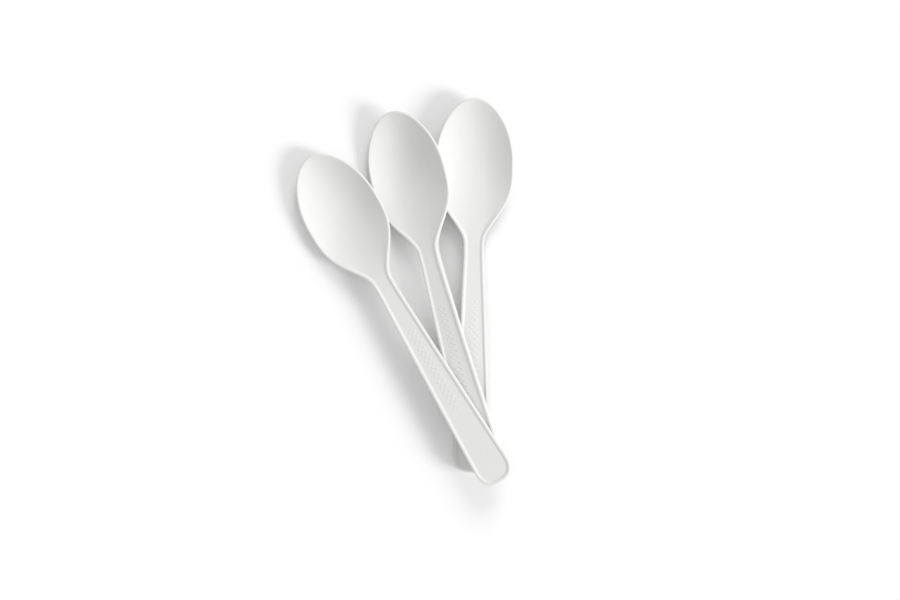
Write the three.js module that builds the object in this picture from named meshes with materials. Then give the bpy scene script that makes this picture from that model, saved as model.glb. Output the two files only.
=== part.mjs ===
// Three plastic spoons, fanned out and lying on each other as they come out of a pack.
// Millimetres and degrees. +Z is up, +Y runs towards the bowls, and the origin is on the table, under the
// middle of the three. In a spoon's own frame +Y runs from the end of the handle to the tip of the bowl.
import * as THREE from "three";

// The outline of a spoon, seen from above. Stations are measured from the tip of the bowl.
const spoonLength = 165;
const bowlWidth = 34.6;
const bowlWidestAt = 28;
const bowlRunOut = 36; // from the widest place to where the bowl has run out into the neck
const neckWidth = 8.9;
const neckLength = 6; // the stretch that doesn't widen yet
const handleEndWidth = 16.1;
const handleEndRound = 9; // length of the rounded end of the handle

// The section of a spoon.
const wall = 1.2;
const bowlDepth = 5.4; // below the rim, at the bowl's widest place
const rimLowestAt = 43; // seen from the side, the rim dips to this station
const tipLift = 2; // how far the rim at the tip stands above its lowest place
const neckLift = 1; // how far the edges at the neck stand above it
const restFlat = 0.12; // how much the bowl's underside is cut flat, so that the spoon has a face to lie on
const rimRise = 0.42; // how far the handle's raised edges stand above its face
const crestInset = 0.8; // from the outline to the highest line of the rim
const crestDrop = 0.35; // how far the rounded crest falls from that line to the outline
const rimSlope = 1.2; // width of the slope from that line down to the face
const lipDrop = 1.1; // height of the outer side of the rim, round the bowl
const neckFlange = 4; // height of the outer side at the neck
const handleFlange = 2.5; // height of the outer side along the handle
const flangeWidth = 1.2; // thickness of the flange under each edge
const flangeFillet = 0.5; // width of the rounding between the flange and the wall
const edgeBreak = 0.2; // chamfer along the bottom of the outer side

// How the three lie: where the end of each handle is on the table, beside that of the lowest spoon, and how
// far the spoon is turned to the left.
const clearance = 0.3; // between spoons that lie on each other
const lowest = { name: "spoon_right", end: [0, 0], turn: -0.5 };
const middle = { name: "spoon_middle", end: [7.5, -0.5], turn: 15.2 };
const highest = { name: "spoon_left", end: [12.5, -2.8], turn: 30.6 };

// Exponents of the curves: 2 gives an ellipse or a parabola.
const bowlTipCurve = 1.9;
const bowlBackCurve = 1.65;
const handleEndCurve = 2.6;
const bowlFloorCurve = 2.2;
const bowlRiseCurve = 0.85;
const rimDipCurve = 1.5;
const handleFallCurve = 1.75;

const neckAt = bowlWidestAt + bowlRunOut;
const taperAt = neckAt + neckLength;
const handleEndAt = spoonLength - handleEndRound; // where the handle's end starts to round
const rimBand = crestInset + rimSlope;
const sideLift = tipLift * (1 - bowlWidestAt / rimLowestAt) ** rimDipCurve;
const rimHeight = bowlDepth + wall - restFlat - sideLift; // of the rim's lowest place above the table
const neckHeight = rimHeight + neckLift;

const { smoothstep, clamp, degToRad } = THREE.MathUtils;

// 1 at t = 0 and 0 at t = 1, level at both.
function easeDown(t) {
  return (1 + Math.cos(Math.PI * clamp(t, 0, 1))) / 2;
}

// A quarter of a superellipse: 1 at t = 0, falling to 0 at t = 1.
function roundOff(t, exponent) {
  return (1 - clamp(t, 0, 1) ** exponent) ** (1 / exponent);
}

function halfWidth(station) {
  const bowl = bowlWidth / 2;
  const neck = neckWidth / 2;
  if (station < bowlWidestAt) {
    return bowl * roundOff(1 - station / bowlWidestAt, bowlTipCurve);
  }
  const back = (station - bowlWidestAt) / bowlRunOut;
  const shoulder = (bowl - neck) * easeDown(Math.max(back, 0) ** bowlBackCurve);
  const taper = clamp((station - taperAt) / (handleEndAt - taperAt), 0, 1);
  const handle = neck + (handleEndWidth / 2 - neck) * taper;
  return (handle + shoulder) * roundOff((station - handleEndAt) / handleEndRound, handleEndCurve);
}

// Height of the rim's crest above the table, seen from the side.
function crestHeight(station) {
  if (station < rimLowestAt) {
    return rimHeight + tipLift * (1 - station / rimLowestAt) ** rimDipCurve;
  }
  const along = clamp((station - neckAt) / (spoonLength - neckAt), 0, 1);
  const rise = neckLift * smoothstep(station, rimLowestAt, taperAt);
  return rimHeight + rise - (neckHeight - handleFlange) * along ** handleFallCurve;
}

// Depth of the face below the crest, along the middle of the spoon.
function middleDepth(station) {
  const back = Math.max(station - bowlWidestAt, 0) / bowlRunOut;
  return rimRise + (bowlDepth - rimRise) * easeDown(back ** bowlRiseCurve);
}

// Height of the outer side of the rim, which turns into a flange along the neck and the handle.
function sideDrop(station) {
  const toNeck = smoothstep(station, bowlWidestAt + bowlRunOut / 2, neckAt);
  const pastNeck = smoothstep(station, neckAt, neckAt + bowlRunOut);
  return lipDrop + (neckFlange - lipDrop) * toNeck + (handleFlange - neckFlange) * pastNeck;
}

// The right half of the outline from the tip to the handle's end, as stations.
function outlineStations(tipSteps, backSteps, handleSteps, endSteps) {
  const stations = [];
  for (let i = 0; i < tipSteps; i++) {
    stations.push(bowlWidestAt * (1 - Math.cos((Math.PI / 2) * (i / tipSteps))));
  }
  for (let i = 0; i < backSteps; i++) {
    stations.push(bowlWidestAt + bowlRunOut * (i / backSteps));
  }
  for (let i = 0; i < handleSteps; i++) {
    stations.push(neckAt + (handleEndAt - neckAt) * (i / handleSteps));
  }
  for (let i = 0; i <= endSteps; i++) {
    stations.push(handleEndAt + handleEndRound * Math.sin((Math.PI / 2) * (i / endSteps)));
  }
  return stations;
}

// The closed outline with the direction that points inwards at each place.
function outline() {
  const stations = outlineStations(10, 11, 12, 6);
  const right = stations.map((station) => new THREE.Vector2(halfWidth(station), station));
  const left = right.slice(1, -1).reverse().map((point) => new THREE.Vector2(-point.x, point.y));
  const points = [...right, ...left];
  return points.map((point, i) => {
    const before = points[(i + points.length - 1) % points.length];
    const after = points[(i + 1) % points.length];
    const along = after.clone().sub(before).normalize();
    return { point, inwards: new THREE.Vector2(-along.y, along.x) };
  });
}

// One line across the skin of the spoon, from the middle of the face, over the rim and back under it.
function skinLine({ point, inwards }) {
  const station = point.y;
  const middleAt = new THREE.Vector2(0, clamp(station, bowlWidestAt, handleEndAt));
  const innerEdge = point.clone().addScaledVector(inwards, rimBand);
  const across = innerEdge.distanceTo(middleAt);
  const drop = sideDrop(station);

  const at = (inset) => point.clone().addScaledVector(inwards, inset);
  const share = (fraction) => innerEdge.clone().lerp(middleAt, fraction);

  // Depth and thickness of the skin at a place that lies so far from the crest.
  function face(place, fromCrest) {
    const span = across + rimSlope;
    const open = clamp(1 - fromCrest / span, 0, 1);
    const deepest = middleDepth(middleAt.y === bowlWidestAt ? bowlWidestAt : place.y);
    const handleShare = smoothstep(place.y, neckAt - bowlRunOut / 2, neckAt);
    const dish = 1 - open ** bowlFloorCurve;
    const step = smoothstep(fromCrest, 0, rimSlope);
    const steepness = (deepest * bowlFloorCurve * open ** (bowlFloorCurve - 1)) / span;
    const depth = deepest * (dish * (1 - handleShare) + step * handleShare);
    const thickness = wall * Math.hypot(1, steepness * (1 - handleShare));
    return { depth, thickness };
  }

  const line = [];
  const add = (place, below) => {
    const height = Math.max(crestHeight(place.y) - below, 0);
    line.push(new THREE.Vector3(place.x, spoonLength - place.y, height));
  };
  const addFace = (place, fromCrest) => add(place, face(place, fromCrest).depth);
  const addUnder = (place, fromCrest, atLeast = 0) => {
    const { depth, thickness } = face(place, fromCrest);
    add(place, Math.max(depth + thickness, atLeast));
  };

  const fractions = [1, 0.86, 0.64, 0.42, 0.24, 0.1];
  fractions.forEach((fraction) => addFace(share(fraction), rimSlope + across * fraction));
  [1, 0.62, 0.3].forEach((part) => addFace(at(crestInset + rimSlope * part), rimSlope * part));
  add(at(crestInset), 0);
  [30, 62, 90].forEach((angle) => {
    const turned = degToRad(angle);
    add(at(crestInset * (1 - Math.sin(turned))), crestDrop * (1 - Math.cos(turned)));
  });
  add(at(0), drop - edgeBreak);
  add(at(edgeBreak), drop);
  addUnder(at(flangeWidth), flangeWidth - crestInset, drop);
  addUnder(at(flangeWidth + flangeFillet), flangeWidth + flangeFillet - crestInset);
  addUnder(at(rimBand), rimSlope);
  fractions.toReversed().forEach((fraction) => addUnder(share(fraction), rimSlope + across * fraction));
  return line;
}

// A closed surface through lines that run round a shape: neighbouring lines are joined by triangles, and
// places that fall together, as along the middle of the spoon, become one corner.
function skin(lines) {
  const corners = [];
  const known = new Map();
  const cornerOf = (place) => {
    const key = place.toArray().map((c) => Math.round(c * 1000)).join();
    if (!known.has(key)) {
      known.set(key, corners.length);
      corners.push(place);
    }
    return known.get(key);
  };
  const grid = lines.map((line) => line.map(cornerOf));
  const triangles = [];
  const addTriangle = (a, b, c) => {
    if (a !== b && b !== c && c !== a) triangles.push(a, b, c);
  };
  grid.forEach((line, i) => {
    const next = grid[(i + 1) % grid.length];
    for (let j = 0; j + 1 < line.length; j++) {
      addTriangle(line[j], next[j + 1], line[j + 1]);
      addTriangle(line[j], next[j], next[j + 1]);
    }
  });
  const geometry = new THREE.BufferGeometry().setFromPoints(corners);
  geometry.setIndex(triangles);
  geometry.computeVertexNormals();
  return geometry;
}

const plastic = new THREE.MeshStandardMaterial({ color: 0xf1f1ef, roughness: 0.5, metalness: 0 });
const spoonSkin = skin(outline().map(skinLine));

// Volume centre of a closed surface.
function massCentre(geometry) {
  const position = geometry.getAttribute("position");
  const index = geometry.getIndex().array;
  const [a, b, c] = [new THREE.Vector3(), new THREE.Vector3(), new THREE.Vector3()];
  const sum = new THREE.Vector3();
  let volume = 0;
  for (let i = 0; i < index.length; i += 3) {
    [a, b, c].forEach((corner, k) => corner.fromBufferAttribute(position, index[i + k]));
    const part = a.dot(b.clone().cross(c));
    volume += part;
    sum.addScaledVector(a.clone().add(b).add(c), part / 4);
  }
  return sum.divideScalar(volume);
}

// Heights of a posed surface over a square grid on the table: the highest at each place, or the lowest.
const cell = 0.6;
const gridOrigin = -spoonLength * 0.75;
const gridSize = Math.ceil((spoonLength * 2) / cell);

function heights(geometry, pose, highestWins) {
  const map = new Float32Array(gridSize * gridSize).fill(highestWins ? -Infinity : Infinity);
  const position = geometry.getAttribute("position");
  const index = geometry.getIndex().array;
  const x = new Float32Array(position.count);
  const y = new Float32Array(position.count);
  const z = new Float32Array(position.count);
  const corner = new THREE.Vector3();
  for (let i = 0; i < position.count; i++) {
    corner.fromBufferAttribute(position, i).applyMatrix4(pose);
    x[i] = (corner.x - gridOrigin) / cell;
    y[i] = (corner.y - gridOrigin) / cell;
    z[i] = corner.z;
  }
  for (let i = 0; i < index.length; i += 3) {
    const [a, b, c] = [index[i], index[i + 1], index[i + 2]];
    const area = (x[b] - x[a]) * (y[c] - y[a]) - (x[c] - x[a]) * (y[b] - y[a]);
    if (area > 0 !== highestWins || area === 0) continue;
    const firstColumn = Math.ceil(Math.min(x[a], x[b], x[c]));
    const lastColumn = Math.floor(Math.max(x[a], x[b], x[c]));
    const firstRow = Math.ceil(Math.min(y[a], y[b], y[c]));
    const lastRow = Math.floor(Math.max(y[a], y[b], y[c]));
    for (let row = firstRow; row <= lastRow; row++) {
      for (let column = firstColumn; column <= lastColumn; column++) {
        const shareB = ((column - x[a]) * (y[c] - y[a]) - (x[c] - x[a]) * (row - y[a])) / area;
        const shareC = ((x[b] - x[a]) * (row - y[a]) - (column - x[a]) * (y[b] - y[a])) / area;
        if (shareB < 0 || shareC < 0 || shareB + shareC > 1) continue;
        const height = z[a] + shareB * (z[b] - z[a]) + shareC * (z[c] - z[a]);
        const place = row * gridSize + column;
        if (highestWins ? height > map[place] : height < map[place]) map[place] = height;
      }
    }
  }
  return map;
}

// The pose of a spoon that is pitched with its bowl up and rolled about the line from the end of its handle
// to its tip, then turned on the table and raised.
function poseOf({ end, turn }, roll, pitch, lift) {
  const slope = Math.atan2(neckHeight - handleFlange, spoonLength);
  const pose = new THREE.Matrix4().makeTranslation(end[0], end[1], handleFlange + lift);
  const steps = [
    new THREE.Matrix4().makeRotationZ(degToRad(turn)),
    new THREE.Matrix4().makeRotationX(degToRad(pitch) + slope),
    new THREE.Matrix4().makeRotationY(degToRad(roll)),
    new THREE.Matrix4().makeRotationX(-slope),
    new THREE.Matrix4().makeTranslation(0, 0, -handleFlange),
  ];
  steps.forEach((step) => pose.multiply(step));
  return pose;
}

// The result of a function that has the least energy between two values, by a golden section search.
const searchStep = 0.02; // the search ends when it knows the angle to so many degrees

function leastOf(tryAt, from, to) {
  const golden = (Math.sqrt(5) - 1) / 2;
  let [low, high] = [from, to];
  let [left, right] = [tryAt(high - golden * (high - low)), tryAt(low + golden * (high - low))];
  while (high - low > searchStep) {
    if (left.energy < right.energy) {
      high = low + golden * (high - low);
      right = left;
      left = tryAt(high - golden * (high - low));
    } else {
      low = high - golden * (high - low);
      left = right;
      right = tryAt(low + golden * (high - low));
    }
  }
  return left.energy < right.energy ? left : right;
}

// A spoon that is laid on others comes to rest where its mass centre is lowest, at a clearance from what
// lies below it: the search finds the best pitch for each roll, and the best roll, between limits in degrees.
const pitchLimits = [-10, 5];
const rollLimits = [-30, 30];

function settle(place, below) {
  const centre = massCentre(spoonSkin);
  const covered = [];
  below.forEach((height, i) => {
    if (height > -Infinity) covered.push(i);
  });

  function rest(roll, pitch) {
    const level = poseOf(place, roll, pitch, 0);
    const under = heights(spoonSkin, level, false);
    let gap = Infinity;
    for (const i of covered) gap = Math.min(gap, under[i] - below[i] - clearance);
    const corner = new THREE.Vector3();
    const position = spoonSkin.getAttribute("position");
    for (let i = 0; i < position.count; i++) {
      gap = Math.min(gap, corner.fromBufferAttribute(position, i).applyMatrix4(level).z);
    }
    return { roll, pitch, lift: -gap, energy: centre.clone().applyMatrix4(level).z - gap };
  }

  const restAt = (roll) => leastOf((pitch) => rest(roll, pitch), ...pitchLimits);
  const best = leastOf(restAt, ...rollLimits);
  return poseOf(place, best.roll, best.pitch, best.lift);
}

function spoon(name, pose) {
  const mesh = new THREE.Mesh(spoonSkin, plastic);
  mesh.name = name;
  pose.decompose(mesh.position, mesh.quaternion, mesh.scale);
  return mesh;
}

// Builds the stack from the table upwards, each spoon on those that already lie there.
function fan() {
  const stack = new THREE.Group();
  const below = new Float32Array(gridSize * gridSize).fill(-Infinity);
  for (const place of [lowest, middle, highest]) {
    const pose = place === lowest ? poseOf(place, 0, 0, 0) : settle(place, below);
    const top = heights(spoonSkin, pose, true);
    top.forEach((height, i) => {
      below[i] = Math.max(below[i], height);
    });
    stack.add(spoon(place.name, pose));
  }
  return stack;
}

const spoons = fan();
const extent = new THREE.Box3().setFromObject(spoons, true);
const middlePoint = extent.getCenter(new THREE.Vector3());
spoons.position.set(-middlePoint.x, -middlePoint.y, 0);

const pack = new THREE.Group();
pack.add(spoons);
export default pack;
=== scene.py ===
# %% [markdown]
# # Three plastic spoons
# Three disposable spoons lie fanned out, each with its handle across the one below. A spoon is one
# moulding of white plastic: an oval bowl, a narrow neck, and a handle that widens towards its end and
# has raised edges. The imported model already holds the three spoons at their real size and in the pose
# in which they rest. It is the frame of this scene. Here each spoon gets a finer surface, the marks of
# its mould and its finish.

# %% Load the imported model
import math

import bmesh
import bpy
import numpy as np
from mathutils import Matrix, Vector
from mathutils.bvhtree import BVHTree


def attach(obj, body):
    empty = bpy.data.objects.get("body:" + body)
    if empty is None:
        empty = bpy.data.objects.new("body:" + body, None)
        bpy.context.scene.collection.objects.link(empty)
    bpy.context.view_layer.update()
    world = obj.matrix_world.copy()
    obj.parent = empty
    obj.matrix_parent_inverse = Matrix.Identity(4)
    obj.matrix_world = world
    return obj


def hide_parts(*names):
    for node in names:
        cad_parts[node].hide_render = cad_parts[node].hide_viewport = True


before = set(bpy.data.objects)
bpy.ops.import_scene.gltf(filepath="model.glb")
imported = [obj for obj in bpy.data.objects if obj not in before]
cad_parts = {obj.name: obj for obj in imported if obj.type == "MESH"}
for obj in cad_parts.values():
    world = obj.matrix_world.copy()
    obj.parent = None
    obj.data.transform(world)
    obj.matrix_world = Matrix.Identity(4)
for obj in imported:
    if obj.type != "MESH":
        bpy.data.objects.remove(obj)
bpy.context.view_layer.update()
print("spoons in the frame:", sorted(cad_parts))

# %% [markdown]
# ## The outline of a spoon
# A spoon is symmetric, so half of its width is enough. Stations are measured along the spoon from the
# tip of its bowl. The front of the bowl is a quarter of a superellipse. Behind its widest place a
# cosine leads into the neck, and its stretched argument keeps the bowl full before the narrow waist.
# A straight taper widens the handle, and one more superellipse rounds its end. Points drawn by hand
# could give this outline too, but formulas stay smooth however finely the surface is cut.

# %% Sizes seen from above
mm = 0.001
spoon_length = 165 * mm
bowl_width = 34.6 * mm
bowl_widest_at = 28 * mm
bowl_run_out = 36 * mm
neck_width = 8.9 * mm
neck_length = 6 * mm
handle_end_width = 16.1 * mm
handle_end_round = 9 * mm

bowl_tip_curve = 1.9
bowl_back_curve = 1.65
handle_end_curve = 2.6

neck_at = bowl_widest_at + bowl_run_out
taper_at = neck_at + neck_length
handle_end_at = spoon_length - handle_end_round
print("the handle runs from", round(neck_at / mm), "to", round(spoon_length / mm), "mm behind the tip")


# %% Half of the width
def share(value, start, end):
    """How far a value has got from start to end, held between 0 and 1."""
    return np.clip((value - start) / (end - start), 0, 1)


def smooth_share(value, start, end):
    """The share t with level ends: 3 t squared minus 2 t cubed."""
    t = share(value, start, end)
    return t * t * (3 - 2 * t)


def ease_down(t):
    """Half a cosine wave, from 1 at t = 0 to 0 at t = 1."""
    return (1 + np.cos(np.pi * np.clip(t, 0, 1))) / 2


def round_off(t, exponent):
    """A quarter of a superellipse: the exponent's root of 1 minus t to that exponent."""
    return (1 - np.clip(t, 0, 1) ** exponent) ** (1 / exponent)


def half_width(station):
    """Superellipse at the tip, then a cosine shoulder on a straight taper, rounded off at the end."""
    tip = bowl_width / 2 * round_off(1 - station / bowl_widest_at, bowl_tip_curve)
    back = share(station, bowl_widest_at, neck_at)
    shoulder = (bowl_width - neck_width) / 2 * ease_down(back**bowl_back_curve)
    taper = (handle_end_width - neck_width) / 2 * share(station, taper_at, handle_end_at)
    rest = (neck_width / 2 + taper + shoulder) * round_off(
        (station - handle_end_at) / handle_end_round, handle_end_curve
    )
    return np.where(station < bowl_widest_at, tip, rest)


# %% [markdown]
# ## The outline as a closed line
# The surface is a grid. One of its two parameters runs round this outline, so its steps decide how
# smooth the edge looks. Equal steps would be simpler, but they would spend faces where nothing bends.
# Here they are finest where the outline turns most, at the tip and at the handle's end, and along the
# stretch of the handle that carries raised marks. Each place also gets the direction that points
# inwards: the line between its two neighbours, turned by a right angle.

# %% Stations and directions round the outline
marks_from = 88 * mm
marks_to = 129 * mm
marks_margin = 1.5 * mm

tip_steps = 48
shoulder_steps = 70
plain_steps = 34
marked_steps = 250
end_steps = 24


def outline_stations():
    """Stations from tip to end: cosine steps at the tip, equal ones behind it, sine steps at the end."""
    quarter = np.pi / 2
    fine_from = marks_from - marks_margin
    fine_to = marks_to + marks_margin
    return np.concatenate(
        [
            bowl_widest_at * (1 - np.cos(quarter * np.arange(tip_steps) / tip_steps)),
            np.linspace(bowl_widest_at, neck_at, shoulder_steps, endpoint=False),
            np.linspace(neck_at, fine_from, plain_steps, endpoint=False),
            np.linspace(fine_from, fine_to, marked_steps, endpoint=False),
            np.linspace(fine_to, handle_end_at, plain_steps, endpoint=False),
            handle_end_at + handle_end_round * np.sin(quarter * np.arange(end_steps + 1) / end_steps),
        ]
    )


def closed_outline():
    """Places and inward directions of the right side, then of the left side as its mirror image."""
    stations = outline_stations()
    right = np.stack([half_width(stations), stations], axis=1)
    left = right[-2:0:-1] * [-1, 1]
    places = np.concatenate([right, left])
    along = np.roll(places, -1, axis=0) - np.roll(places, 1, axis=0)
    along /= np.linalg.norm(along, axis=1, keepdims=True)
    inwards = np.stack([-along[:, 1], along[:, 0]], axis=1)
    return places, inwards


outline, inwards = closed_outline()
print("outline:", len(outline), "places, widest", round(outline[:, 0].max() * 2 / mm, 1), "mm")

# %% [markdown]
# ## The side view
# From the side, the edge dips from the tip to the back of the bowl, rises a little to the neck, and
# then falls slowly to the table along the handle. The face lies deep below that edge in the bowl and
# only a little below it in the handle. The outer side of the edge is a thin lip round the bowl and
# grows into a flange at the neck, which keeps the narrow place from bending. A flat spoon could also
# be bent with a lattice, but with one formula for each height, every height can be set by itself.

# %% Sizes in section
wall = 1.2 * mm
bowl_depth = 5.4 * mm
rim_lowest_at = 43 * mm
tip_lift = 2 * mm
neck_lift = 1 * mm
rest_flat = 0.12 * mm
rim_rise = 0.42 * mm
crest_inset = 0.8 * mm
crest_drop = 0.35 * mm
rim_slope = 1.2 * mm
rim_band = crest_inset + rim_slope
lip_drop = 1.1 * mm
neck_flange = 4 * mm
handle_flange = 2.5 * mm
flange_width = 1.2 * mm
flange_corner = 0.2 * mm
flange_fillet = 0.5 * mm

bowl_floor_curve = 2.2
bowl_rise_curve = 0.85
rim_dip_curve = 1.5
handle_fall_curve = 1.75

side_lift = tip_lift * (1 - bowl_widest_at / rim_lowest_at) ** rim_dip_curve
rim_height = bowl_depth + wall - rest_flat - side_lift
neck_height = rim_height + neck_lift
print("rim at its lowest:", round(rim_height / mm, 1), "mm, neck:", round(neck_height / mm, 1), "mm")


# %% Heights along the spoon
def crest_height(station):
    """A power curve down from the tip, a smooth rise to the neck, and a power curve down the handle."""
    tip = tip_lift * (1 - share(station, 0, rim_lowest_at)) ** rim_dip_curve
    rise = neck_lift * smooth_share(station, rim_lowest_at, taper_at)
    fall = (neck_height - handle_flange) * share(station, neck_at, spoon_length) ** handle_fall_curve
    return rim_height + tip + rise - fall


def middle_depth(station):
    """Depth of the face below the crest: full up to the widest place, then a cosine up to the handle."""
    back = np.maximum(station - bowl_widest_at, 0) / bowl_run_out
    return rim_rise + (bowl_depth - rim_rise) * ease_down(back**bowl_rise_curve)


def side_drop(station):
    """Height of the outer side: a lip, a flange that is highest at the neck, and a lower one behind."""
    to_neck = smooth_share(station, bowl_widest_at + bowl_run_out / 2, neck_at)
    past_neck = smooth_share(station, neck_at, neck_at + bowl_run_out)
    return lip_drop + (neck_flange - lip_drop) * to_neck + (handle_flange - neck_flange) * past_neck


# %% [markdown]
# ## One skin from the face over the rim to the underside
# The grid's other parameter runs across the spoon: from its middle up over the face, over the rounded
# crest, down the outer side, and back under the flange to the middle. The wall is measured upright, so
# it is divided by the cosine of the slope to keep one thickness at right angles to the face. Solidify
# could thicken an open face instead, but it would give the flange the same thickness as the bowl.


# %% Depth and thickness of the face
def face_section(places, middles, across, from_crest):
    """Bowl: depth times 1 minus a power of the way in. Handle: a smooth step, then level."""
    station = places[:, 1]
    span = across + rim_slope
    way_in = np.clip(1 - from_crest / span, 0, 1)
    in_front = middles[:, 1] <= bowl_widest_at
    deepest = middle_depth(np.where(in_front, bowl_widest_at, station))
    handle_part = smooth_share(station, neck_at - bowl_run_out / 2, neck_at)
    dish = 1 - way_in**bowl_floor_curve
    step = smooth_share(from_crest, 0, rim_slope)
    steepness = deepest * bowl_floor_curve * way_in ** (bowl_floor_curve - 1) / span
    depth = deepest * (dish * (1 - handle_part) + step * handle_part)
    thickness = wall * np.hypot(1, steepness * (1 - handle_part))
    return depth, thickness


# %% [markdown]
# ## Raised marks on the handle
# Spoons of this kind carry a row of small raised marks on the handle. Here it is a row of plain
# lozenges, which say nothing and break the long face in the same way. A bump in the material could
# draw them, but as a part of the surface they also catch light and shadow when seen from the side. A
# round spot near the end is where a pin pushed the spoon out of its mould.

# %% Heights of the marks
mark_count = 15
mark_height = 3.3 * mm
mark_length = 2.1 * mm
mark_stroke = 0.34 * mm
mark_relief = 0.12 * mm
mark_pitch = (marks_to - marks_from) / mark_count
pin_at = 148.5 * mm
pin_radius = 0.9 * mm
pin_edge = 0.3 * mm
pin_relief = 0.06 * mm
print("marks:", mark_count, "lozenges,", round(mark_pitch / mm, 2), "mm apart")


def lozenge_relief(places):
    """A flat-topped bell of the distance to the nearest lozenge, whose line is |x| / a + |y| / b = 1."""
    along = (places[:, 1] - marks_from) / mark_pitch
    local = (along - np.floor(along) - 0.5) * mark_pitch
    a, b = mark_height / 2, mark_length / 2
    level = np.abs(places[:, 0]) / a + np.abs(local) / b - 1
    distance = level / math.hypot(1 / a, 1 / b)
    inside = (along > 0) & (along < mark_count)
    return inside * mark_relief * np.exp(-((distance / (mark_stroke / 2)) ** 4))


def pin_spot(places):
    """A flat round spot with a soft edge, from the distance to its centre."""
    distance = np.hypot(places[:, 0], places[:, 1] - pin_at)
    return pin_relief * smooth_share(distance, pin_radius, pin_radius - pin_edge)


# %% [markdown]
# ## The rows of the grid
# Every row is an offset from the outline: a share of the way to the middle on the face, and an inset in
# millimetres near the rim. Together they make one array of places. A coarse cage under a Subdivision
# Surface would need fewer rows, but it would soften the rim and the marks.

# %% How many rows each stretch of the skin has
face_rows = 26
slope_rows = 10
crest_rows = 9
corner_rows = 4
flange_rows = 7
underside_rows = 16


# %% The whole skin
def skin_grid():
    """Rows from the middle of the face, over the rim, to the middle below, as (row, place, xyz)."""
    middles = np.zeros_like(outline)
    middles[:, 1] = np.clip(outline[:, 1], bowl_widest_at, handle_end_at)
    inner_edge = outline + inwards * rim_band
    across = np.linalg.norm(inner_edge - middles, axis=1)
    drop = side_drop(outline[:, 1])
    quarter = np.pi / 2
    rows = []

    def add(places, depth):
        height = np.maximum(crest_height(places[:, 1]) - depth, 0)
        rows.append(np.column_stack([places[:, 0], spoon_length - places[:, 1], height]))

    for part in np.linspace(1, 0, face_rows, endpoint=False):
        places = inner_edge + (middles - inner_edge) * part
        depth, _ = face_section(places, middles, across, rim_slope + across * part)
        add(places, depth - lozenge_relief(places) - pin_spot(places))
    for part in np.linspace(1, 0, slope_rows, endpoint=False):
        places = outline + inwards * (crest_inset + rim_slope * part)
        depth, _ = face_section(places, middles, across, rim_slope * part)
        add(places, depth)
    for angle in np.linspace(0, quarter, crest_rows):
        places = outline + inwards * crest_inset * (1 - math.sin(angle))
        add(places, crest_drop * (1 - math.cos(angle)))
    for angle in np.linspace(0, quarter, corner_rows):
        places = outline + inwards * flange_corner * (1 - math.cos(angle))
        add(places, drop - flange_corner * (1 - math.sin(angle)))
    for part in np.linspace(0, 1, flange_rows):
        inset = flange_width + flange_fillet * part
        places = outline + inwards * inset
        depth, thickness = face_section(places, middles, across, inset - crest_inset)
        under = depth + thickness
        sunk = np.maximum(drop - under, 0) * (1 - smooth_share(part, 0, 1))
        add(places, under + sunk)
    for part in np.linspace(0, 1, underside_rows):
        places = inner_edge + (middles - inner_edge) * part
        depth, thickness = face_section(places, middles, across, rim_slope + across * part)
        add(places, depth + thickness)
    return np.array(rows)


grid = skin_grid()
print("skin:", grid.shape[0], "rows of", grid.shape[1], "places")

# %% [markdown]
# ## From the grid to a closed mesh
# Each cell of the grid is a face. Along the middle of the spoon the right and the left half meet, and
# at the two centres of the round ends many places fall together. Extra faces could bridge those seams,
# but merging the doubles closes seams and poles alike, and leaves no edge open.

# %% The mesh of one spoon in its own frame
merge_distance = 0.002 * mm


def grid_faces(row_count, place_count):
    """Cells between neighbouring rows, closed round the outline, wound so that they face outwards."""
    row, place = np.meshgrid(np.arange(row_count - 1), np.arange(place_count), indexing="ij")
    after = (place + 1) % place_count
    corners = [
        row * place_count + place,
        row * place_count + after,
        (row + 1) * place_count + after,
        (row + 1) * place_count + place,
    ]
    return np.stack(corners, axis=-1).reshape(-1, 4)


def closed_mesh(name, points, faces):
    """A mesh whose coinciding corners are merged and whose faces are shaded smooth."""
    mesh = bpy.data.meshes.new(name)
    mesh.from_pydata(points.tolist(), [], faces.tolist())
    shell = bmesh.new()
    shell.from_mesh(mesh)
    bmesh.ops.remove_doubles(shell, verts=shell.verts, dist=merge_distance)
    open_edges = sum(not edge.is_manifold for edge in shell.edges)
    volume = round(shell.calc_volume(signed=True) / mm**3)
    print(name, "open edges:", open_edges, "volume:", volume, "mm3")
    shell.to_mesh(mesh)
    shell.free()
    mesh.polygons.foreach_set("use_smooth", np.ones(len(mesh.polygons), dtype=bool))
    return mesh


pattern_mesh = closed_mesh("spoon", grid.reshape(-1, 3), grid_faces(grid.shape[0], grid.shape[1]))

# %% [markdown]
# ## Where each spoon lies
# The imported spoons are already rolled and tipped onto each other. Their poses could be written down as
# numbers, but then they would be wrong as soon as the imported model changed. Instead they are read from
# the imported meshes: the centre and the principal axes of a solid's volume turn with it. A few rounds
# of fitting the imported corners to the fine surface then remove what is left.


# %% Centre and axes of a volume
def triangles_of(mesh):
    """Corners of a mesh's triangles, as (triangle, corner, xyz)."""
    mesh.calc_loop_triangles()
    corners = np.empty(len(mesh.vertices) * 3)
    mesh.vertices.foreach_get("co", corners)
    index = np.empty(len(mesh.loop_triangles) * 3, dtype=np.int32)
    mesh.loop_triangles.foreach_get("vertices", index)
    return corners.reshape(-1, 3)[index.reshape(-1, 3)]


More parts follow.
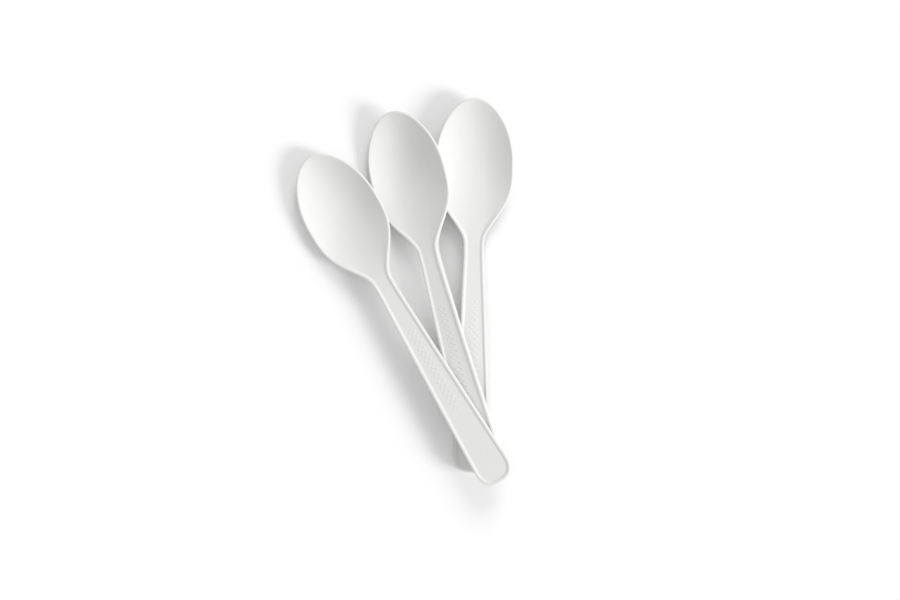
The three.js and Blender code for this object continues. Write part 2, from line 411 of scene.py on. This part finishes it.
def volume_frame(triangles):
    """Centre and principal axes of the volume inside, cut into tetrahedra from the mean corner to each
    triangle. A tetrahedron's centre is a quarter of its corners' sum, and its second moments are a
    twentieth of the corners' squares plus the square of their sum. The long axis is turned towards +Y
    and the flat one towards +Z, as each spoon lies."""
    origin = triangles.mean(axis=(0, 1))
    corners = triangles - origin
    volumes = np.einsum("ij,ij->i", corners[:, 0], np.cross(corners[:, 1], corners[:, 2])) / 6
    total = corners.sum(axis=1)
    centre = (volumes[:, None] * total / 4).sum(axis=0) / volumes.sum()
    squares = np.einsum("i,ijk,ijl->kl", volumes, corners, corners) + np.einsum(
        "i,ik,il->kl", volumes, total, total
    )
    spread = squares / 20 / volumes.sum() - np.outer(centre, centre)
    axes = np.linalg.eigh(spread)[1]
    flat, long = axes[:, 0], axes[:, 2]
    flat = flat * np.sign(flat[2])
    long = long * np.sign(long[1])
    return origin + centre, np.stack([np.cross(long, flat), long, flat], axis=1)


# %% Turn and place of a packed spoon
fitting_rounds = 6
corner_digits = 7
least_angle = 1e-12


def small_turn(vector):
    """The rotation about a vector by its length: 1, plus the sine times the cross matrix, plus 1 minus
    the cosine times the square of that matrix."""
    angle = np.linalg.norm(vector)
    x, y, z = vector / max(angle, least_angle)
    cross = np.array([[0, -z, y], [z, 0, -x], [-y, x, 0]])
    return np.eye(3) + math.sin(angle) * cross + (1 - math.cos(angle)) * cross @ cross


def fit_pose(mesh, triangles):
    """The rotation and shift that lay a mesh over packed triangles, and the gaps that are left. Each
    round solves, by least squares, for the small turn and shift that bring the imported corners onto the
    planes of the nearest faces."""
    own_centre, own_axes = volume_frame(triangles_of(mesh))
    packed_centre, packed_axes = volume_frame(triangles)
    turn = packed_axes @ own_axes.T
    shift = packed_centre - turn @ own_centre
    surface = BVHTree.FromPolygons(
        [vertex.co for vertex in mesh.vertices], [tuple(face.vertices) for face in mesh.polygons]
    )
    corners = np.unique(triangles.reshape(-1, 3).round(corner_digits), axis=0)
    for _ in range(fitting_rounds):
        local = (corners - shift) @ turn
        hits = [surface.find_nearest(Vector(place)) for place in local]
        near = np.array([hit[0] for hit in hits])
        normals = np.array([hit[1] for hit in hits])
        gaps = np.einsum("ij,ij->i", near - local, normals)
        slopes = np.hstack([np.cross(local, normals), normals])
        step = np.linalg.lstsq(slopes, gaps, rcond=None)[0]
        turn = turn @ small_turn(step[:3]).T
        shift = shift - turn @ step[3:]
    return turn, shift, np.abs(gaps)


# %% [markdown]
# ## The three spoons
# One mesh serves for all three. Three objects that share it would be lighter, but each would need a
# place of its own, and here every object stays at the origin. So each copy is carried to its place in
# numpy. It gets a UV map in the spoon's own frame, in units of its length, so that a pattern in the
# material can follow the moulding however the spoon is turned.


# %% Build, place and replace
def lay_spoon(name, packed):
    """A copy of the fine spoon in a packed one's pose, raised where its rounder bowl would dip below
    z = 0."""
    turn, shift, gaps = fit_pose(pattern_mesh, triangles_of(packed.data))
    mean_gap, widest_gap = round(gaps.mean() / mm, 3), round(gaps.max() / mm, 3)
    print(name, "fits within", mean_gap, "mm on average,", widest_gap, "mm at most")
    mesh = pattern_mesh.copy()
    mesh.name = name
    own = np.empty(len(mesh.vertices) * 3)
    mesh.vertices.foreach_get("co", own)
    own = own.reshape(-1, 3)
    placed = own @ turn.T + shift
    placed[:, 2] -= min(placed[:, 2].min(), 0)
    loops = np.empty(len(mesh.loops), dtype=np.int32)
    mesh.loops.foreach_get("vertex_index", loops)
    moulding = mesh.uv_layers.new(name="moulding")
    moulding.data.foreach_set("uv", (own[loops, :2] / spoon_length).ravel())
    mesh.vertices.foreach_set("co", placed.ravel())
    mesh.update()
    spoon = bpy.data.objects.new(name, mesh)
    bpy.context.scene.collection.objects.link(spoon)
    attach(spoon, "root")
    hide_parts(packed.name)
    return spoon


spoons = [lay_spoon("moulded_" + name, packed) for name, packed in sorted(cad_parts.items())]

# %% [markdown]
# ## White plastic
# The plastic is a plant-based one, filled with fine chalk: off-white, matt, and not quite even. One
# colour and one roughness would look like paint. Three things keep it from that: its tone drifts a
# little along the flow of the melt, the fine grain of the mould scatters the light, and the polish
# changes from place to place. Each of them is a pattern that a node group works out, and the
# Principled shader takes them as colour, normal and roughness.


# %% Helpers for node trees
def add_node(tree, kind, **values):
    """A node of that kind. Values named like inputs are set on the sockets, the others on the node."""
    node = tree.nodes.new(kind)
    for name, value in values.items():
        socket = node.inputs.get(name.replace("_", " "))
        if socket is None:
            setattr(node, name, value)
        else:
            socket.default_value = value
    return node


def new_group(name, inputs, outputs):
    """A node group with named sockets: inputs as {name: default number or colour}, outputs as
    {name: type}."""
    group = bpy.data.node_groups.new(name, "ShaderNodeTree")
    for label, value in inputs.items():
        kind = "NodeSocketColor" if isinstance(value, tuple) else "NodeSocketFloat"
        socket = group.interface.new_socket(name=label, in_out="INPUT", socket_type=kind)
        socket.default_value = value
    for label, kind in outputs.items():
        group.interface.new_socket(name=label, in_out="OUTPUT", socket_type=kind)
    return group, group.nodes.new("NodeGroupInput"), group.nodes.new("NodeGroupOutput")


# %% [markdown]
# ## Flow of the melt
# The melt ran from the handle's end to the bowl, so the streaks are stretched along the spoon, to about
# 3 by 17 mm. Noise gives them, with its coordinates squeezed lengthwise. It reads the moulding's own UV
# map, because in Object coordinates the streaks would run the same way on all three spoons.

# %% Node group: flow streaks
streak_squeeze = (1, 0.16, 1)
streak_low = 0.35
streak_high = 0.65


def flow_streaks():
    """Base tone mixed towards a second tone by noise that is stretched along the moulding."""
    inputs = {"Tone": (0.825, 0.825, 0.815, 1), "Second Tone": (0.81, 0.81, 0.8, 1), "Streaks": 60.0}
    group, entry, leave = new_group("flow_streaks", inputs, {"Color": "NodeSocketColor"})
    uv = add_node(group, "ShaderNodeUVMap", uv_map="moulding")
    squeeze = add_node(group, "ShaderNodeMapping", Scale=streak_squeeze)
    streaks = add_node(group, "ShaderNodeTexNoise", Detail=4.0, Roughness=0.55)
    spread = add_node(group, "ShaderNodeMapRange", From_Min=streak_low, From_Max=streak_high)
    mix = add_node(group, "ShaderNodeMix", data_type="RGBA")
    link = group.links.new
    link(uv.outputs["UV"], squeeze.inputs["Vector"])
    link(squeeze.outputs["Vector"], streaks.inputs["Vector"])
    link(entry.outputs["Streaks"], streaks.inputs["Scale"])
    link(streaks.outputs["Fac"], spread.inputs["Value"])
    link(spread.outputs["Result"], mix.inputs["Factor"])
    link(entry.outputs["Tone"], mix.inputs["A"])
    link(entry.outputs["Second Tone"], mix.inputs["B"])
    link(mix.outputs["Result"], leave.inputs["Color"])
    return group


# %% [markdown]
# ## Grain of the mould
# A mould for such spoons is blasted, not polished, and leaves a grain of about a third of a
# millimetre. A finer noise on top is the chalk in the plastic. The group puts out both as a height for
# a bump, because in the mesh itself they would take millions of faces. It also puts out a roughness
# that drifts in patches of about a centimetre, as the finish of the mould does.

# %% Node group: mould grain
chalk_share = 0.4
patches_per_metre = 90.0
noise_middle = 0.5


def mould_grain():
    """Two sizes of noise added as a height, and a roughness that varies with a third, broad noise."""
    inputs = {"Grain Size": 0.3 * mm, "Chalk Size": 0.1 * mm, "Roughness": 0.7, "Variation": 0.1}
    outputs = {"Height": "NodeSocketFloat", "Roughness": "NodeSocketFloat"}
    group, entry, leave = new_group("mould_grain", inputs, outputs)
    coordinates = add_node(group, "ShaderNodeTexCoord")
    link = group.links.new
    heights = []
    for label, detail in (("Grain Size", 2.0), ("Chalk Size", 0.0)):
        count = add_node(group, "ShaderNodeMath", operation="DIVIDE")
        count.inputs[0].default_value = 1.0
        noise = add_node(group, "ShaderNodeTexNoise", Detail=detail)
        link(entry.outputs[label], count.inputs[1])
        link(count.outputs["Value"], noise.inputs["Scale"])
        link(coordinates.outputs["Object"], noise.inputs["Vector"])
        heights.append(noise.outputs["Fac"])
    total = add_node(group, "ShaderNodeMath", operation="MULTIPLY_ADD")
    total.inputs[1].default_value = chalk_share
    link(heights[1], total.inputs[0])
    link(heights[0], total.inputs[2])
    polish = add_node(group, "ShaderNodeTexNoise", Scale=patches_per_metre, Detail=3.0)
    centred = add_node(group, "ShaderNodeMath", operation="SUBTRACT")
    centred.inputs[1].default_value = noise_middle
    rough = add_node(group, "ShaderNodeMath", operation="MULTIPLY_ADD")
    link(coordinates.outputs["Object"], polish.inputs["Vector"])
    link(polish.outputs["Fac"], centred.inputs[0])
    link(centred.outputs["Value"], rough.inputs[0])
    link(entry.outputs["Variation"], rough.inputs[1])
    link(entry.outputs["Roughness"], rough.inputs[2])
    link(total.outputs["Value"], leave.inputs["Height"])
    link(rough.outputs["Value"], leave.inputs["Roughness"])
    return group


# %% The spoons' material
plastic_ior = 1.46
grain_strength = 0.25
grain_relief = 0.06 * mm


def white_plastic():
    """Principled plastic: streaked tone, grained bump, and a roughness that drifts."""
    material = bpy.data.materials.new("white_plastic")
    material.use_nodes = True
    tree = material.node_tree
    shader = tree.nodes["Principled BSDF"]
    shader.inputs["IOR"].default_value = plastic_ior
    streaks = add_node(tree, "ShaderNodeGroup", node_tree=flow_streaks())
    grain = add_node(tree, "ShaderNodeGroup", node_tree=mould_grain())
    bump = add_node(tree, "ShaderNodeBump", Strength=grain_strength, Distance=grain_relief)
    tree.links.new(streaks.outputs["Color"], shader.inputs["Base Color"])
    tree.links.new(grain.outputs["Roughness"], shader.inputs["Roughness"])
    tree.links.new(grain.outputs["Height"], bump.inputs["Height"])
    tree.links.new(bump.outputs["Normal"], shader.inputs["Normal"])
    return material


plastic = white_plastic()
for spoon in spoons:
    spoon.data.materials.append(plastic)
print("plastic:", len(plastic.node_tree.nodes), "nodes, on", len(spoons), "spoons")

# %% [markdown]
# ## Table, light and camera
# The spoons lie on a table that comes out just white, as in a catalogue picture. To the camera the
# table is lighter than it is to the light that bounces from it, so the picture stays white while the
# shadows and the spoons keep their tones. Area lamps could light it, but they fall off across the
# table. Two suns don't, and the angle of each sets how soft its shadow is. A broad key comes from the
# right and a broad fill from beyond the bowls, both low enough to shade the bowls, and an even world
# does the rest. Their sum on the table is close to 1, so that a colour renders about as it is written.

# %% Table
table_tone = 0.8
seen_tone = 1.0
seen_glow = 0.01
table_reach = 3.0


def seen_directly(tree):
    """A socket that is 1 for camera, glossy and transmission rays, and 0 for the light that bounces."""
    ray = add_node(tree, "ShaderNodeLightPath")
    direct = add_node(tree, "ShaderNodeMath", operation="ADD")
    seen = add_node(tree, "ShaderNodeMath", operation="ADD", use_clamp=True)
    tree.links.new(ray.outputs["Is Camera Ray"], direct.inputs[0])
    tree.links.new(ray.outputs["Is Glossy Ray"], direct.inputs[1])
    tree.links.new(direct.outputs["Value"], seen.inputs[0])
    tree.links.new(ray.outputs["Is Transmission Ray"], seen.inputs[1])
    return seen.outputs["Value"]


def table_material():
    """Diffuse white, with a lighter tone and a faint glow where it is seen directly."""
    material = bpy.data.materials.new("table_white")
    material.use_nodes = True
    tree = material.node_tree
    tree.nodes.clear()
    output = add_node(tree, "ShaderNodeOutputMaterial")
    plain = add_node(tree, "ShaderNodeBsdfDiffuse", Color=(table_tone, table_tone, table_tone, 1))
    bright = add_node(tree, "ShaderNodeBsdfDiffuse", Color=(seen_tone, seen_tone, seen_tone, 1))
    glow = add_node(tree, "ShaderNodeEmission", Strength=seen_glow)
    lifted = add_node(tree, "ShaderNodeAddShader")
    mix = add_node(tree, "ShaderNodeMixShader")
    link = tree.links.new
    link(bright.outputs["BSDF"], lifted.inputs[0])
    link(glow.outputs["Emission"], lifted.inputs[1])
    link(seen_directly(tree), mix.inputs["Fac"])
    link(plain.outputs["BSDF"], mix.inputs[1])
    link(lifted.outputs["Shader"], mix.inputs[2])
    link(mix.outputs["Shader"], output.inputs["Surface"])
    return material


table_mesh = bpy.data.meshes.new("table")
corner_signs = ((-1, -1), (1, -1), (1, 1), (-1, 1))
table_corners = [(x * table_reach, y * table_reach, 0) for x, y in corner_signs]
table_mesh.from_pydata(table_corners, [], [(0, 1, 2, 3)])
table_mesh.materials.append(table_material())
table = bpy.data.objects.new("table", table_mesh)
bpy.context.scene.collection.objects.link(table)
print("table:", 2 * table_reach, "m square")

# %% Light
world_radiance = 0.595
white = (1, 1, 1, 1)


def broad_sun(name, radiance, azimuth, elevation, spread):
    """A sun from a direction in degrees. Its energy is pi times the radiance of a white face turned to
    it. Gives back the radiance of a white face that lies level."""
    lamp = bpy.data.objects.new(name, bpy.data.lights.new(name, "SUN"))
    lamp.data.energy = radiance * math.pi
    lamp.data.angle = math.radians(spread)
    around, up = math.radians(azimuth), math.radians(elevation)
    towards = Vector((math.cos(around) * math.cos(up), math.sin(around) * math.cos(up), math.sin(up)))
    lamp.rotation_euler = towards.to_track_quat("Z", "Y").to_euler()
    bpy.context.scene.collection.objects.link(lamp)
    return radiance * math.sin(up)


key = broad_sun("key", radiance=0.54, azimuth=-20, elevation=26.5, spread=17)
fill = broad_sun("fill", radiance=0.29, azimuth=74, elevation=33, spread=25)
print("light on the table:", round(world_radiance + key + fill, 3))


# %% World
def even_world():
    """An even fill, and plain white where it is seen directly."""
    world = bpy.data.worlds.new("studio")
    world.use_nodes = True
    tree = world.node_tree
    tree.nodes.clear()
    output = add_node(tree, "ShaderNodeOutputWorld")
    even = add_node(tree, "ShaderNodeBackground", Color=white, Strength=world_radiance)
    plain = add_node(tree, "ShaderNodeBackground", Color=white, Strength=1.0)
    mix = add_node(tree, "ShaderNodeMixShader")
    link = tree.links.new
    link(seen_directly(tree), mix.inputs["Fac"])
    link(even.outputs["Background"], mix.inputs[1])
    link(plain.outputs["Background"], mix.inputs[2])
    link(mix.outputs["Shader"], output.inputs["Surface"])
    return world


bpy.context.scene.world = even_world()
bpy.context.scene.view_settings.view_transform = "Standard"

# %% [markdown]
# ## Camera
# The camera looks straight down from 60 cm, so the spoons hardly change size with their height. An
# orthographic camera would show no such change at all, but a real picture has a little. The axis meets
# the table a little to the right of the spoons, because they lie left of the middle of the picture.

# %% Camera
camera_height = 0.6
camera_axis = (19.88 * mm, -3.98 * mm)
camera_sight = 20
picture_width = 900
pixels_per_metre = 2252.6
sensor_width = 36

camera = bpy.data.objects.new("camera", bpy.data.cameras.new("camera"))
camera.location = (*camera_axis, camera_height)
camera.data.sensor_width = sensor_width
camera.data.lens = sensor_width * camera_height * pixels_per_metre / picture_width
camera.data.clip_end = camera_sight
bpy.context.scene.collection.objects.link(camera)
bpy.context.scene.camera = camera
print("lens:", round(camera.data.lens, 1), "mm")
